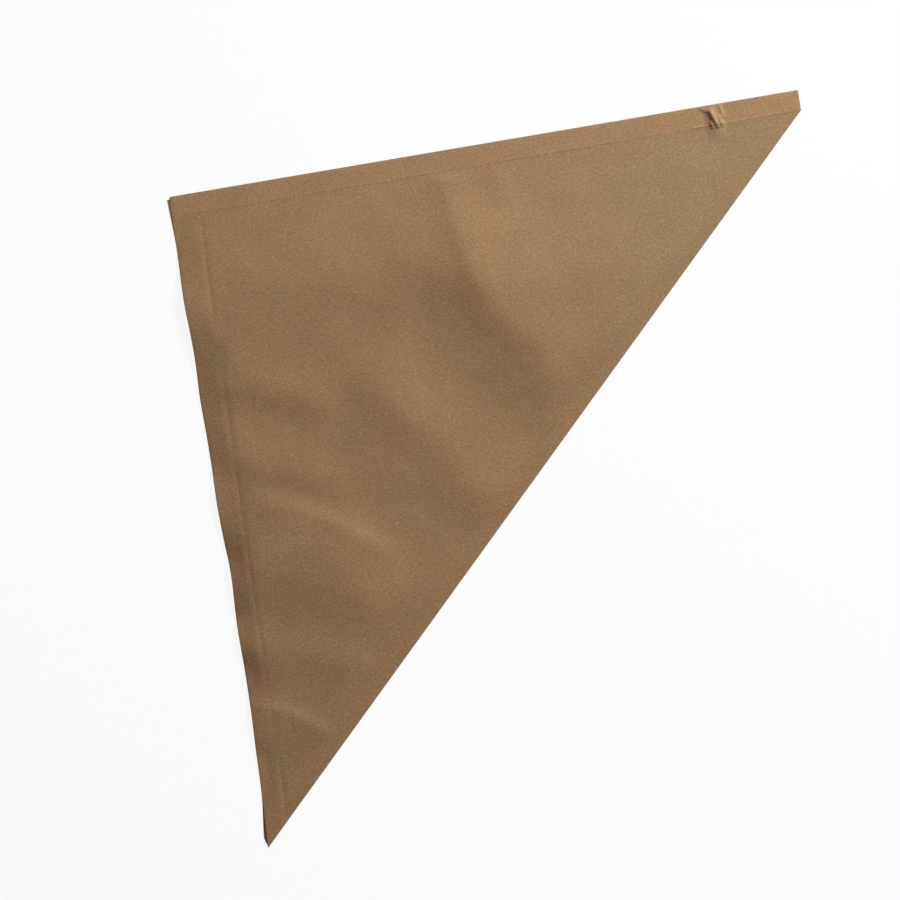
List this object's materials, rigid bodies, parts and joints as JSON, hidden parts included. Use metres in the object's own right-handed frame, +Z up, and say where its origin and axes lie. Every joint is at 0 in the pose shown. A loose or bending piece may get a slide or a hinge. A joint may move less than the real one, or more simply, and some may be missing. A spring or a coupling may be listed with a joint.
{
  "type": "paper cone bag",
  "caption": "Flat, empty cone-shaped paper bag: a folded kraft sheet glued along one seam, open along its mouth.",
  "frame": {"origin": "under the middle of the bag's bounding box, on the surface that it lies on", "axes": "+X along the glued seam from the mouth to the cut tip, +Y across the bag towards the seam, +Z up through the plies"},
  "size_m": [0.227, 0.23, 0.0055],
  "materials": {
    "kraft_paper": "matte"
  },
  "bodies": {
    "root": {"cone_bag": "kraft_paper"}
  },
  "joints": []
}
